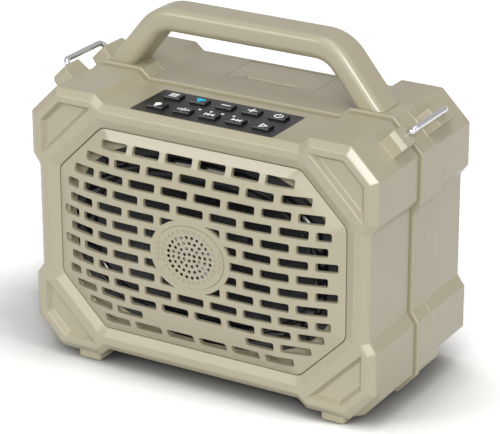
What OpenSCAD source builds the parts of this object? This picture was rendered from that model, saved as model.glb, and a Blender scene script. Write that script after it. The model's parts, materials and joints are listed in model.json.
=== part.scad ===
/* [Case] */
// Width over the corner guards
case_w = 256; // [230:1:300]
// Height from the underside of the guards to their top
case_h = 184; // [170:1:220]
// Depth from the front plane to the rear plane
case_d = 131; // [125:1:170]
// Wall thickness of the shells
wall = 3; // [2.5:0.5:4]
// Length of each guard along the side of the case
guard_side = 49.2; // [44:0.2:54]
// Distance from the side of the case in to the inner end of a guard
guard_in = 49.5; // [44:0.5:54]
// Drop from the top of the guards to the deck
deck_drop = 5.4; // [4:0.2:7]
// Step from the side of the guards in to the side of the case
side_inset = 5.2; // [4:0.2:7]
// Run of the ramp from a guard to the deck
ramp_x = 6.6; // [5:0.2:9]
// Run of the ramp from a guard to the side
ramp_z = 7.3; // [6:0.1:9]
// Leg of the 45 degree cut on the upper corners
top_cut = 20; // [17:0.5:22]
// Leg of the cut on the lower corners, along the width
low_cut_x = 18.5; // [17:0.5:22]
// Leg of the cut on the lower corners, along the height
low_cut_z = 20; // [17:0.5:22]
// Depth of the bevel round the front and rear edges
bevel_d = 3.8; // [3:0.2:4.6]
// Inset of the bevel round the front and rear edges
bevel_in = 4.9; // [4:0.1:5.5]
// Radius of the outline's corners
corner_r = 2; // [1:0.25:2.5]

/* [Shell split] */
// Depth of the front shell
front_d = 55; // [50:0.5:60]
// Thickness of the seal behind the front shell
seal_t = 2; // [1.5:0.25:3]
// How far the seal lies below the surface
seal_sink = 1.2; // [0.8:0.1:1.6]
// Depth of the middle band
band_d = 19; // [17:0.5:24]
// How far the middle band stands proud of the shells
band_grow = 0.8; // [0.4:0.1:1.4]
// Depth of the bead on the front of the middle band
bead_d = 3; // [2.4:0.2:4]
// Height of the bead over the middle band
bead_h = 1.2; // [0.8:0.1:1.8]
// How much further down the side the upper guard reaches on the band
band_drop = 3.5; // [1:0.5:5]
// Depth of the part of the rear shell that follows the band's outline
collar_d = 12; // [9:0.5:14]
// Thickness of the skid pads on the lower corner cuts
skid_h = 3.8; // [2:0.2:4.4]

/* [Corner pockets] */
// Depth of the pockets in the front guards
pocket_d = 4; // [2:0.5:5]
// Land between a pocket and the guard's edge
pocket_land = 9; // [7.5:0.5:10]
// Land between a pocket and the front opening
pocket_rib = 7; // [5:0.5:8]
// Inset of a pocket's floor from its mouth
pocket_draft = 2.6; // [1.5:0.1:3]

/* [Grille] */
// Width of the grille
grille_w = 213; // [195:1:216]
// Height of the grille
grille_h = 140.8; // [132:0.4:144]
// Leg of the 45 degree cut on the grille's corners
grille_cut = 33; // [28:1:38]
// Radius of the grille's corners
grille_r = 8; // [5:0.5:10]
// How far the grille's rim lies behind the front plane
grille_sink = 3; // [2:0.25:4]
// Inset of the bezel's bevel down to the grille
bezel_in = 6.3; // [4:0.1:6.6]
// Depth of the grille's skirt behind its rim
skirt_d = 5; // [4:0.5:7]
// Thickness of the grille
grille_t = 2.6; // [2:0.2:3.2]
// Rise of the crown over the rim
crown_h = 12.3; // [9:0.1:14]
// Half length of the crown's flat along the width
flat_x = 45; // [35:1:55]
// Half length of the crown's flat along the height
flat_z = 26; // [24:1:30]
// Half length of the crown's flat along the diagonals
flat_diag = 40; // [36:1:50]
// Length of a slot
slot_w = 20; // [17:0.5:21]
// Height of a slot
slot_h = 6; // [4.5:0.25:6.5]
// Spacing of the slots along a row
slot_pitch = 24.45; // [23.5:0.05:27]
// Spacing of the rows
row_pitch = 10.12; // [9.6:0.02:10.4]
// Number of rows above and below the middle row
row_count = 6; // [4:1:6]
// Corner radius of a slot
slot_r = 1.3; // [0.8:0.1:2]
// Half width of the slotted field
field_x = 102; // [90:0.5:102]
// Half height that shapes the slotted field
field_z = 75; // [72:0.5:78]
// Shortest slot at the edge of the field
slot_min = 7; // [5:0.5:9]
// Row that stays closed in the middle, counted from the middle row
plain_row = -5; // [-6:1:0]
// Half length of the closed stretch
plain_half = 37; // [0:1:37]

/* [Tweeter] */
// Half width of the oval cover
cover_a = 25.5; // [23:0.5:27]
// Half height of the oval cover
cover_b = 21; // [18:0.5:22]
// Width of the plain band round the cover
boss_w = 4; // [3:0.25:5]
// Depth of the cover's seat in the grille
cover_seat = 1.5; // [1:0.1:1.8]
// How far the cover stands out of the grille
cover_proud = 0.5; // [0.3:0.1:1]
// Width of the ledge that carries the cover
cover_ledge = 2.2; // [1.6:0.2:3]
// Diameter of the cover's holes
hole_d = 1.9; // [1.5:0.1:2.2]
// Spacing of the rings of holes
hole_pitch = 3.8; // [3.4:0.1:4]
// Rings of holes that go through
open_rings = 4; // [3:1:5]
// Depth of the blind dimples outside the open rings
dimple_d = 0.6; // [0.3:0.1:1]
// Half width of the tweeter's flange
tweeter_a = 27; // [26:0.5:29]
// Half height of the tweeter's flange
tweeter_b = 22; // [21:0.5:23.5]
// Diameter of the tweeter's body
tweeter_d = 34; // [28:1:36]
// Depth of the tweeter's body
tweeter_l = 9; // [7:0.5:11]
// Diameter of the tweeter's dome
dome_d = 25; // [20:1:28]

/* [Woofer] */
// Half width of the oval woofer
woofer_a = 98; // [86:1:99]
// Half height of the oval woofer
woofer_b = 65.8; // [61:0.2:66]
// Fullness of the woofer's outline, 2 for an ellipse
woofer_full = 2.5; // [2:0.1:2.8]
// Width of the woofer's flange
flange_w = 9; // [8:0.5:11]
// Thickness of the woofer's flange
flange_t = 2; // [1.5:0.25:2.5]
// Thickness of the woofer's gasket
gasket_t = 1; // [0.6:0.1:1.4]
// Width of the roll of the surround
roll_w = 10; // [8:0.5:12]
// Height of the roll of the surround
roll_h = 3.6; // [2.6:0.2:4]
// Depth of the cone
cone_d = 22; // [18:0.5:26]
// Thickness of the cone
cone_t = 0.8; // [0.6:0.1:1]
// Radius of the cone's neck
neck_r = 21; // [18:0.5:24]
// Depth of the basket behind its flange
basket_d = 36; // [32:0.5:40]
// Radius of the magnet
magnet_r = 40; // [34:0.5:44]
// Thickness of the magnet
magnet_t = 18; // [14:0.5:22]

/* [Handle] */
// Height of the grip's top over the guards
handle_h = 44; // [40:0.1:60]
// Depth of the grip
grip_d = 27; // [24:0.2:27]
// Thickness of the grip
grip_t = 16; // [14:0.1:18]
// Edge radius on the upper side of the grip
grip_top_r = 5.6; // [4:0.1:6.5]
// Edge radius on the lower side of the grip
grip_low_r = 5; // [4:0.1:6]
// Slope of the legs below the horizontal
leg_tilt = 51; // [48:0.1:58]
// Radius of the bends along the middle of the grip
bend_r = 24; // [18:0.1:26]
// Distance from the corner cut in to the middle of a leg's foot
leg_x = 15.2; // [14:0.1:16]
// Distance of the handle's middle from the case's middle
handle_shift = 3.6; // [0:0.1:4]
// Gap between the bead and the handle
handle_gap = 0.4; // [0.3:0.1:0.6]

/* [Strap bars] */
// Diameter of the rod
rod_d = 4; // [3:0.25:5]
// Length between the rod's legs
bar_len = 44.2; // [40:0.2:46]
// Height of the rod's middle over the corner cut
bar_rise = 16.5; // [15.5:0.5:19]
// Bend radius of the rod
rod_bend = 4; // [3:0.25:5]
// Distance from the rear face of the front shell to the front leg
bar_setback = 9.8; // [9:0.1:12]
// Depth of a leg in its lug
leg_sink = 7; // [5:0.5:8]
// Width of a lug
lug_w = 13.8; // [12:0.2:16]
// Height of a lug over the corner cut
lug_h = 11.5; // [10:0.5:12]
// Length of the front lug's top
front_lug = 14; // [13.6:0.2:15]
// Length of the rear lug's top
rear_lug = 21; // [17:0.5:22]
// Run of a lug's outer end, with its bevel
lug_slope = 3.5; // [3.2:0.1:5]
// Bevel along the outer end of a lug's top
lug_bevel = 3; // [1:0.25:3]
// Run of a lug's inner end
lug_step = 3; // [1:0.25:3.2]
// Distance from a rod's leg to the outer end of the front lug's top
front_lead = 10.6; // [9:0.2:11]
// Distance from a rod's leg to the inner end of the rear lug's top
rear_lead = 9.9; // [7:0.1:10]

/* [Keys] */
// Width of the key panel
panel_w = 104.6; // [100:0.2:112]
// Depth of the key panel
panel_d = 42; // [38:0.5:44]
// Thickness of the key panel
panel_t = 2; // [1.6:0.1:2.2]
// Distance from the front plane to the panel
panel_y = 4.6; // [4:0.1:6]
// Width of a key
key_w = 11.7; // [10:0.1:13]
// Depth of a key
key_d = 8; // [7:0.25:9]
// Height of a key over the panel
key_h = 1.6; // [1.2:0.1:2.4]
// Spacing of the keys along a row
key_pitch = 19.4; // [17.5:0.1:20]
// Spacing of the two rows
key_rows = 20; // [19:0.5:21]
// Distance from the middle of the panel back to the middle of the keys
key_shift = 1; // [0:0.25:1.5]
// Travel of a key
key_travel = 0.6; // [0.4:0.1:0.9]
// Bevel on a key's front and rear edges
key_bevel = 0.5; // [0.3:0.1:0.8]
// Diameter of the light dots
dot_d = 2; // [1.5:0.1:2.4]
// Spacing of the light dots
dot_pitch = 8.37; // [7:0.1:9]
// Height of a key switch
switch_h = 2; // [1.6:0.1:2.4]
// Side of a key switch
switch_s = 6; // [5:0.25:6.5]

/* [Ports] */
// Width of the port cover
flap_w = 66; // [60:0.5:74]
// Depth of the port cover from its front edge to its hinge
flap_d = 31; // [26:0.5:32]
// Thickness of the port cover
flap_t = 2.2; // [1.8:0.1:2.6]
// Depth of the port bay below the deck
bay_d = 5.2; // [4.8:0.1:6]
// Radius of the cover's knuckle
knuckle_r = 2; // [1.8:0.1:2.2]
// Diameter of the hinge pin
pin_d = 2; // [1.6:0.1:2.2]
// Width of the finger scoop
scoop_w = 39; // [30:0.5:44]
// Depth of the finger scoop
scoop_d = 4; // [3:0.25:5]
// Height of the sockets below the bay's floor
socket_h = 11; // [9:0.5:13]

/* [Inside] */
// Thickness of the circuit boards
board_t = 1.6; // [1.2:0.2:2]
// Width of the main board
main_w = 124; // [100:1:130]
// Height of the main board
main_h = 54; // [44:1:56]
// Height of the posts behind the main board
post_h = 12; // [8:0.5:14]
// Diameter of a battery cell
cell_d = 18.3; // [18:0.1:21]
// Length of a battery cell
cell_l = 65; // [60:0.5:70]
// Number of battery cells
cell_count = 3; // [2:1:3]
// Diameter of the screws
screw_d = 3; // [2.5:0.1:3.4]

/* [Feet] */
// Length of a foot along the width
foot_w = 17.8; // [16:0.2:22]
// Depth of a foot
foot_d = 18; // [14:0.5:22]
// Height of a foot
foot_h = 6.4; // [3:0.2:8]
// Radius of a foot's corners
foot_r = 3; // [2:0.25:5]
// Bevel round a foot's sole
foot_bevel = 0.8; // [0.6:0.1:1.6]
// Distance from a foot to the front or rear plane
foot_y = 5.5; // [5.5:0.25:9]
// Distance from a guard's inner end to a foot
foot_lead = 5.3; // [4:0.1:7]
// Distance of the feet's middle from the case's middle
foot_shift = 3.2; // [0:0.1:4]

/* [Fits] */
// Gap round a piece that moves
run_gap = 0.3; // [0.2:0.05:0.4]
// Gap round a piece that is set in another
set_gap = 0.15; // [0.1:0.05:0.25]
// Radial gap of a pin, rod or screw in its bore
bore_gap = 0.04; // [0.02:0.01:0.08]

/* [Hidden] */
$fn = 48;
eps = 0.01;
sand = "#bdb59b";
ink = "#1c1d1f";

// Levels along the depth and the height, from the front plane and the underside of the guards
mid_z = case_h / 2;
deck_z = case_h - deck_drop;
band_y = front_d + seal_t;
rear_y = band_y + band_d;
collar_y = rear_y + collar_d;
rim_y = grille_sink;
baffle_y = rim_y + skirt_d;
cavity_y = baffle_y + wall;
seat_y = baffle_y + flange_t + gasket_t;
back_y = case_d - wall;
apex_y = rim_y - crown_h - cover_proud;
shift_y = -(apex_y + case_d) / 2;
foot_plane = case_h + band_grow;
guard_x = case_w / 2 - guard_in;
leg_mid = case_w / 2 - top_cut - leg_x;

// Unit vector along v
function unit(v) = v / norm(v);
// Normal to the right of the way from a to b, which points inward on a clockwise ring
function inward(a, b) = let (d = unit(b - a)) [d[1], -d[0]];
// Clockwise ring moved inward by a distance, with mitred corners
function inset_ring(p, d) = let (n = len(p)) [for (i = [0:n - 1])
    let (f = inward(p[(i + n - 1) % n], p[i]), g = inward(p[i], p[(i + 1) % n]))
    p[i] + d * (f + g) / (1 + f * g)];
// Ring with each corner replaced by an arc of the given radius and number of steps
function round_ring(p, r, steps) = let (n = len(p)) [for (i = [0:n - 1])
    let (
        u = unit(p[(i + n - 1) % n] - p[i]),
        v = unit(p[(i + 1) % n] - p[i]),
        half = acos(u * v) / 2,
        middle = p[i] + unit(u + v) * r / sin(half),
        from = p[i] + u * r / tan(half) - middle,
        to = p[i] + v * r / tan(half) - middle,
        sweep = 180 - 2 * half)
    for (k = [0:steps])
        middle + (sin(sweep * (1 - k / steps)) * from + sin(sweep * k / steps) * to) / sin(sweep)];
// Clockwise ring from its right half, listed from the top to the bottom
function both_halves(half) =
    concat(half, [for (i = [len(half) - 1:-1:0]) [-half[i][0], half[i][1]]]);
// Clockwise rectangle round the origin
function box_ring(w, h) = [[-w / 2, h / 2], [w / 2, h / 2], [w / 2, -h / 2], [-w / 2, -h / 2]];
// Clockwise octagon round the middle of the front, grown outward by a distance
function octagon(w, h, cut, grow) = inset_ring([for (p = both_halves([[w / 2 - cut, h / 2],
    [w / 2, h / 2 - cut], [w / 2, cut - h / 2], [w / 2 - cut, -h / 2]])) p + [0, mid_z]], -grow);
// Clockwise ellipse round the middle of the front
function ellipse(a, b, steps = 48) =
    [for (i = [0:steps - 1]) [a * sin(i * 360 / steps), mid_z + b * cos(i * 360 / steps)]];

// Clockwise oval of the woofer round the middle of the front, fuller than an ellipse
function fuller(v) = sign(v) * pow(abs(v), 2 / woofer_full);
function oval(a, b, steps = 48) = [for (i = [0:steps - 1])
    [a * fuller(sin(i * 360 / steps)), mid_z + b * fuller(cos(i * 360 / steps))]];

// Outline of the case, with longer upper guards and smaller lower cuts for the band
function case_half(drop, fill) = [
    [guard_x - ramp_x, deck_z],
    [guard_x, case_h],
    [case_w / 2 - top_cut, case_h],
    [case_w / 2, case_h - top_cut],
    [case_w / 2, case_h - guard_side - drop],
    [case_w / 2 - side_inset, case_h - guard_side - drop - ramp_z],
    [case_w / 2 - side_inset, guard_side + ramp_z],
    [case_w / 2, guard_side],
    [case_w / 2, low_cut_z - fill],
    [case_w / 2 - low_cut_x + fill, 0],
    [guard_x, 0],
    [guard_x - ramp_x, deck_drop]];
shell_line = both_halves(case_half(0, 0));
band_line = both_halves(case_half(band_drop, skid_h * sqrt(2)));
function shell_ring(inset) = round_ring(inset_ring(shell_line, inset), corner_r, 2);
function band_ring(inset) = round_ring(inset_ring(band_line, inset - band_grow), corner_r, 2);
function grille_ring(grow) = round_ring(octagon(grille_w, grille_h, grille_cut, grow), grille_r, 4);

// Ring of the front view set at a depth
function at_depth(ring, y) = [for (p = ring) [p[0], y, p[1]]];

// Moves children from the case's own levels to the part's origin
module place() {
    translate([0, shift_y, foot_h]) children();
}

// Skin over clockwise rings of one length, listed from front to back, closed by its ends or on itself
module loft(rings, ends = true) {
    n = len(rings[0]);
    m = len(rings);
    spans = ends ? m - 2 : m - 1;
    sides = [for (k = [0:spans], i = [0:n - 1])
        let (a = k * n, b = ((k + 1) % m) * n, j = (i + 1) % n)
        each [[a + i, b + i, b + j], [a + i, b + j, a + j]]];
    caps = ends ? [[for (i = [0:n - 1]) i], [for (i = [n - 1:-1:0]) (m - 1) * n + i]] : [];
    polyhedron([for (r = rings) each r], concat(sides, caps));
}

// Front view shape carried from one depth to another
module along_y(from, to) {
    translate([0, to, 0]) rotate([90, 0, 0]) linear_extrude(to - from) children();
}

// Everything between two depths
module slab(from, to) {
    translate([-case_w, from, -case_h]) cube([2 * case_w, to - from, 3 * case_h]);
}

// Cylinder along the depth
module rod_y(d, x, z, from, to) {
    translate([x, to, z]) rotate([90, 0, 0]) cylinder(d = d, h = to - from);
}

// Places children on an upper corner cut: X down the cut, Z out of it
module on_cut(side) {
    mirror([side < 0 ? 1 : 0, 0, 0])
        translate([case_w / 2 - top_cut / 2, 0, case_h - top_cut / 2]) rotate([0, 45, 0]) children();
}

// Places children on all four corners of the front view, taken from the upper right one
module four_corners() {
    for (mx = [0, 1], mz = [0, 1])
        mirror([mx, 0, 0]) translate([0, 0, mz * case_h]) mirror([0, 0, mz]) children();
}

// Strap bar positions along the depth
bar_front = front_d - bar_setback;
bar_rear = bar_front + bar_len;
front_lug_y = bar_front - front_lead;
rear_lug_y = bar_rear - rear_lead;

// Block on a corner cut, listed from its bevelled outer end to its sloped inner end
module lug(outer, inner, way) {
    rotate([90, 0, 90]) linear_extrude(lug_w, center = true)
        polygon([[outer - way * lug_slope, -wall / 2], [outer - way * lug_slope, 0],
            [outer - way * lug_bevel, lug_h - lug_bevel], [outer, lug_h], [inner, lug_h],
            [inner + way * lug_step, 0], [inner + way * lug_step, -wall / 2]]);
}

// Bores for the legs of a strap bar
module bar_bores() {
    for (y = [bar_front, bar_rear])
        translate([0, y, lug_h - leg_sink]) cylinder(d = rod_d + 2 * bore_gap, h = leg_sink + 1);
}

// Bores and bosses of the long screws that close the case
boss_x = case_w / 2 - side_inset - wall - 7;
boss_z = guard_side - 9;
boss_d = screw_d + 6;
head_h = 1.8;
screw_edge = 4;
screw_lean = 2.5;
handle_bite = 8;
main_bite = 6;
port_bite = 4;
bore_end = 1;
module boss_places() {
    for (x = [-boss_x, boss_x], z = [boss_z, case_h - boss_z]) translate([x, 0, z]) children();
}

// Mouth and floor of a corner pocket in the upper right guard
pocket_edge = octagon(grille_w, grille_h, grille_cut, bezel_in + pocket_rib)[1];
pocket_sum = pocket_edge[0] + pocket_edge[1];
pocket_top = case_h - pocket_land;
pocket_side = case_w / 2 - pocket_land;
pocket_cut = case_w / 2 + case_h - top_cut - pocket_land * sqrt(2);
pocket_mouth = [
    [pocket_sum - pocket_top, pocket_top],
    [pocket_cut - pocket_top, pocket_top],
    [pocket_side, pocket_cut - pocket_side],
    [pocket_side, pocket_sum - pocket_side]];
module corner_pocket() {
    front = inset_ring(pocket_mouth, -pocket_draft * 0.2);
    loft([at_depth(front, -pocket_d * 0.2), at_depth(inset_ring(pocket_mouth, pocket_draft), pocket_d)]);
}

module front_shell() color(sand) place() difference() {
    union() {
        difference() {
            intersection() {
                loft([at_depth(shell_ring(1.5 * bevel_in), -bevel_d / 2),
                    at_depth(shell_ring(0), bevel_d), at_depth(shell_ring(0), front_d + 1)]);
                slab(0, front_d);
            }
            along_y(cavity_y, front_d + 1) polygon(shell_ring(wall));
        }
        for (side = [-1, 1]) on_cut(side)
            lug(front_lug_y, front_lug_y + front_lug, 1);
        for (side = [-1, 1]) skid(side, bevel_d + 4, front_d, 6);
        along_y(baffle_y + eps, seat_y + wall) polygon(oval(woofer_a + wall, woofer_b + wall));
        boss_places() rod_y(boss_d, 0, 0, cavity_y - eps, front_d);
        for (x = [-board_boss_x, board_boss_x], y = board_boss_y)
            translate([x, y, key_board_z]) cylinder(d = screw_d + 4, h = deck_z - wall / 2 - key_board_z);
    }
    loft([at_depth(grille_ring(bezel_in * 4 / 3), -rim_y / 3), at_depth(grille_ring(0), rim_y)]);
    along_y(rim_y - eps, baffle_y) polygon(grille_ring(set_gap));
    along_y(baffle_y - eps, seat_y) polygon(oval(woofer_a + set_gap, woofer_b + set_gap));
    along_y(seat_y - 1, seat_y + wall + 1)
        polygon(oval(woofer_a - flange_free, woofer_b - flange_free));
    four_corners() corner_pocket();
    panel_seat();
    for (side = [-1, 1]) on_cut(side) bar_bores();
    boss_places() rod_y(screw_d + 2 * bore_gap, 0, 0, cavity_y + wall, front_d + 1);
    woofer_screw_places() rod_y(screw_d + 2 * bore_gap, 0, 0, seat_y - 1, seat_y + wall + 1);
    for (x = [-board_boss_x, board_boss_x], y = board_boss_y)
        translate([x, y, key_board_z - 1])
            cylinder(d = screw_d + 2 * bore_gap, h = deck_z - wall - key_board_z + 1);
}

// Pad on a lower corner cut, tapered at its front end
module skid(side, y0, y1, taper) {
    fill = skid_h * sqrt(2);
    outer = [[case_w / 2 - 1.5 * wall, low_cut_z], [case_w / 2 - eps, low_cut_z + 0.8 * fill],
        [case_w / 2 - eps, low_cut_z - fill], [case_w / 2 - low_cut_x + fill, eps],
        [case_w / 2 - low_cut_x - 0.8 * fill, eps], [case_w / 2 - low_cut_x, 1.5 * wall]];
    inner = [[case_w / 2 - 1.5 * wall, low_cut_z], [case_w / 2 - eps, low_cut_z + 0.8 * fill],
        [case_w / 2 - eps, low_cut_z - eps], [case_w / 2 - low_cut_x + eps, eps],
        [case_w / 2 - low_cut_x - 0.8 * fill, eps], [case_w / 2 - low_cut_x, 1.5 * wall]];
    mirror([side < 0 ? 1 : 0, 0, 0])
        loft([at_depth(inner, y0), at_depth(outer, y0 + taper), at_depth(outer, y1)]);
}

// Crown of the grille: rings from its flat middle down to the rim, falling along a parabola
crown_steps = 7;
flat_cut = flat_x + flat_z - flat_diag * sqrt(2);
function crown_ring(t, thin) = let (
    w = (1 - t) * flat_x + t * (grille_w / 2 - thin),
    h = (1 - t) * flat_z + t * (grille_h / 2 - thin),
    cut = (1 - t) * flat_cut + t * (grille_cut - thin * 0.6))
    round_ring(octagon(2 * w, 2 * h, cut, 0), (1 - t) * 4 + t * max(grille_r - thin, 2), 4);
function crown_rings(thin) = [for (k = [0:crown_steps])
    let (t = k / crown_steps) at_depth(crown_ring(t, thin), rim_y - crown_h * (1 - t * t) + thin)];

// Half width of the slotted field at a height over the middle
function field_reach(z) = field_x * pow(1 - pow(abs(z) / field_z, 2.5), 0.4);

// One slot between two places along a row
module slot(x0, x1, z) {
    polygon([for (p = round_ring(box_ring(x1 - x0, slot_h), slot_r, 3)) p + [(x0 + x1) / 2, mid_z + z]]);
}

// Rows of slots, every second row shifted by half a pitch
module slot_field() {
    for (row = [-row_count:row_count]) {
        z = row * row_pitch;
        reach = field_reach(z);
        shift = (row + row_count) % 2 == 0 ? slot_pitch / 2 : 0;
        for (i = [-ceil(field_x / slot_pitch) - 1:ceil(field_x / slot_pitch)]) {
            x = i * slot_pitch + shift;
            x0 = max(x - slot_w / 2, -reach);
            x1 = min(x + slot_w / 2, reach);
            closed = row == plain_row && max(abs(x0), abs(x1)) < plain_half + slot_w;
            inner = row == plain_row && min(abs(x0), abs(x1)) < plain_half;
            if (x1 - x0 > slot_min && !(closed && inner)) slot(x0, x1, z);
        }
    }
}

module grille() color(sand) place() difference() {
    loft(concat(crown_rings(0), [at_depth(crown_ring(1, 0), baffle_y)]));
    loft(concat(crown_rings(grille_t), [at_depth(crown_ring(1, grille_t), baffle_y + 1)]));
    along_y(rim_y - crown_h - 1, rim_y + 1) difference() {
        slot_field();
        polygon(ellipse(cover_a + boss_w, cover_b + boss_w));
    }
    along_y(rim_y - crown_h - 1, rim_y - crown_h + cover_seat)
        polygon(ellipse(cover_a + set_gap, cover_b + set_gap));
    along_y(rim_y - crown_h - 1, rim_y)
        polygon(ellipse(cover_a - cover_ledge, cover_b - cover_ledge));
}

// Rings of holes of the tweeter cover, from one ring to another
module hole_rings(first, last, from, to) {
    for (k = [first:last]) {
        a = hole_pitch * (k + 0.1);
        b = hole_pitch * (k - 0.4);
        count = 6 * k;
        for (i = [0:count - 1]) {
            x = a * cos((i + 0.5) * 360 / count);
            z = b * sin((i + 0.5) * 360 / count);
            if (pow(x / (cover_a - hole_d), 2) + pow(z / (cover_b - hole_d), 2) < 1)
                rod_y(hole_d, x, mid_z + z, from, to, $fn = 16);
        }
    }
}

module tweeter_cover() color(sand) place() difference() {
    along_y(apex_y, apex_y + cover_proud + cover_seat) polygon(ellipse(cover_a, cover_b));
    hole_rings(1, open_rings, apex_y - 1, apex_y + cover_proud + cover_seat + 1);
    hole_rings(open_rings + 1, open_rings + 2, apex_y - 1, apex_y + dimple_d);
}

// The tweeter's flange lies against the back of the grille, its dome in the cover's opening
module tweeter() color("#c9ccd0") place() {
    flange_y = rim_y - crown_h + grille_t;
    dome_h = grille_t - cover_seat - run_gap;
    dome_r = (pow(dome_d / 2, 2) + pow(dome_h, 2)) / (2 * dome_h);
    along_y(flange_y, flange_y + flange_t) polygon(ellipse(tweeter_a, tweeter_b));
    rod_y(tweeter_d, 0, mid_z, flange_y + flange_t - eps, flange_y + tweeter_l);
    intersection() {
        translate([0, flange_y - dome_h + dome_r, mid_z]) sphere(dome_r, $fn = 120);
        rod_y(dome_d + 1, 0, mid_z, flange_y - dome_h - 1, flange_y + eps);
    }
}

// Levels of the woofer, whose flange lies flush in a seat of the baffle
flange_y = baffle_y;
basket_t = 1.7;
mouth_a = woofer_a - flange_w;
mouth_b = woofer_b - flange_w;
flange_free = flange_w - 2;
roll_a = woofer_a - flange_free - roll_w / 2;
roll_b = woofer_b - flange_free - roll_w / 2;
basket_y = flange_y + flange_t + basket_d;
screw_turn = 42;
module woofer_screw_places() {
    for (sx = [-1, 1], sz = [-1, 1])
        translate([sx * (woofer_a - flange_free / 2) * fuller(cos(screw_turn)), 0,
            mid_z + sz * (woofer_b - flange_free / 2) * fuller(sin(screw_turn))]) children();
}
module oval_ring(a, b, w, from, to) {
    along_y(from, to) difference() {
        polygon(oval(a, b));
        polygon(oval(a - w, b - w));
    }
}

module woofer_gasket() color("#2a2a2c") place() difference() {
    oval_ring(woofer_a, woofer_b, flange_free, seat_y - gasket_t, seat_y);
    woofer_screw_places() rod_y(screw_d + 2 * set_gap, 0, 0, seat_y - gasket_t - 1, seat_y + 1);
}

module woofer_basket() color("#27282b") place() difference() {
    union() {
        oval_ring(woofer_a, woofer_b, flange_w, flange_y, flange_y + flange_t);
        loft([at_depth(oval(mouth_a + basket_t, mouth_b + basket_t), flange_y + flange_t - eps),
            at_depth(ellipse(magnet_r + basket_t, magnet_r + basket_t), basket_y - basket_t),
            at_depth(ellipse(magnet_r + basket_t, magnet_r + basket_t), basket_y)]);
    }
    loft([at_depth(oval(mouth_a, mouth_b), flange_y + flange_t - 2 * eps),
        at_depth(ellipse(magnet_r, magnet_r), basket_y - basket_t)]);
    along_y(flange_y - 1, flange_y + flange_t + eps) polygon(oval(mouth_a, mouth_b));
    rod_y(2 * neck_r + 4, 0, mid_z, basket_y - 2 * basket_t, basket_y + 1);
    woofer_screw_places() rod_y(screw_d + 2 * set_gap, 0, 0, flange_y - 1, seat_y);
    for (angle = [0:60:300]) translate([0, flange_y + flange_t + 12, mid_z]) rotate([0, angle, 0])
        translate([20, 0, -14]) cube([mouth_a, basket_d - 22, 28]);
}

// Half roll between the flange and the cone, closed by a flat base
module woofer_surround() color("#161718") place() {
    arc = [for (t = [0:22.5:180]) [cos(t) * roll_w / 2, -sin(t) * roll_h - cone_t]];
    section = concat(arc, [[-roll_w / 2, 0], [roll_w / 2, 0]]);
    loft([for (i = [len(section) - 1:-1:0]) let (p = section[i])
        at_depth(oval(roll_a + p[0], roll_b + p[0]), flange_y + p[1])], false);
}

// Thin cone from the surround to its neck
module woofer_cone() color("#1b1c20") place() {
    cone_a = roll_a - roll_w / 2 - set_gap;
    cone_b = roll_b - roll_w / 2 - set_gap;
    loft([
        at_depth(oval(cone_a, cone_b), flange_y - cone_t),
        at_depth(oval(cone_a, cone_b), flange_y),
        at_depth(ellipse(neck_r, neck_r), flange_y + cone_d),
        at_depth(ellipse(neck_r - cone_t, neck_r - cone_t), flange_y + cone_d),
        at_depth(oval(cone_a - 3 * cone_t, cone_b - 3 * cone_t), flange_y - cone_t)], false);
}

module dust_cap() color("#202124") place() {
    cap_r = neck_r - cone_t - set_gap;
    cap_h = 7;
    ball_r = (cap_r * cap_r + cap_h * cap_h) / (2 * cap_h);
    intersection() {
        translate([0, flange_y + cone_d - cap_h + ball_r, mid_z]) sphere(ball_r, $fn = 120);
        rod_y(2 * cap_r, 0, mid_z, flange_y + cone_d - cap_h - 1, flange_y + cone_d);
    }
    rod_y(2 * (neck_r - 6), 0, mid_z, flange_y + cone_d - eps, basket_y);
}

module woofer_magnet() color("#3a3b3d") place() {
    rod_y(2 * magnet_r, 0, mid_z, basket_y, basket_y + magnet_t);
    rod_y(2 * magnet_r - 10, 0, mid_z, basket_y + magnet_t - eps, basket_y + magnet_t + 3);
}

module woofer_screws() color("#2b2c2e") place() woofer_screw_places() {
    rod_y(screw_d + 2, 0, 0, flange_y - head_h, flange_y);
    rod_y(screw_d, 0, 0, flange_y - eps, seat_y + wall);
}

// Ring between two outlines, carried along the depth
module shell_seal() color("#6f6a58") place() along_y(front_d, band_y) difference() {
    polygon(shell_ring(seal_sink));
    polygon(shell_ring(wall));
}

// Middle band with its bead; screws pass up through it into the handle
module middle_band() color(sand) place() difference() {
    intersection() {
        loft([at_depth(band_ring(1.2 - bead_h), band_y - 1), at_depth(band_ring(-bead_h), band_y + 0.5),
            at_depth(band_ring(-bead_h), band_y + bead_d - 0.8), at_depth(band_ring(0), band_y + bead_d),
            at_depth(band_ring(0), rear_y + 1)]);
        slab(band_y, rear_y);
    }
    along_y(band_y - 1, rear_y + 1) polygon(shell_ring(wall));
    handle_screw_places()
        cylinder(d = screw_d + 2 * set_gap, h = 2 * wall + 2 * band_grow, center = true);
}

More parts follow.
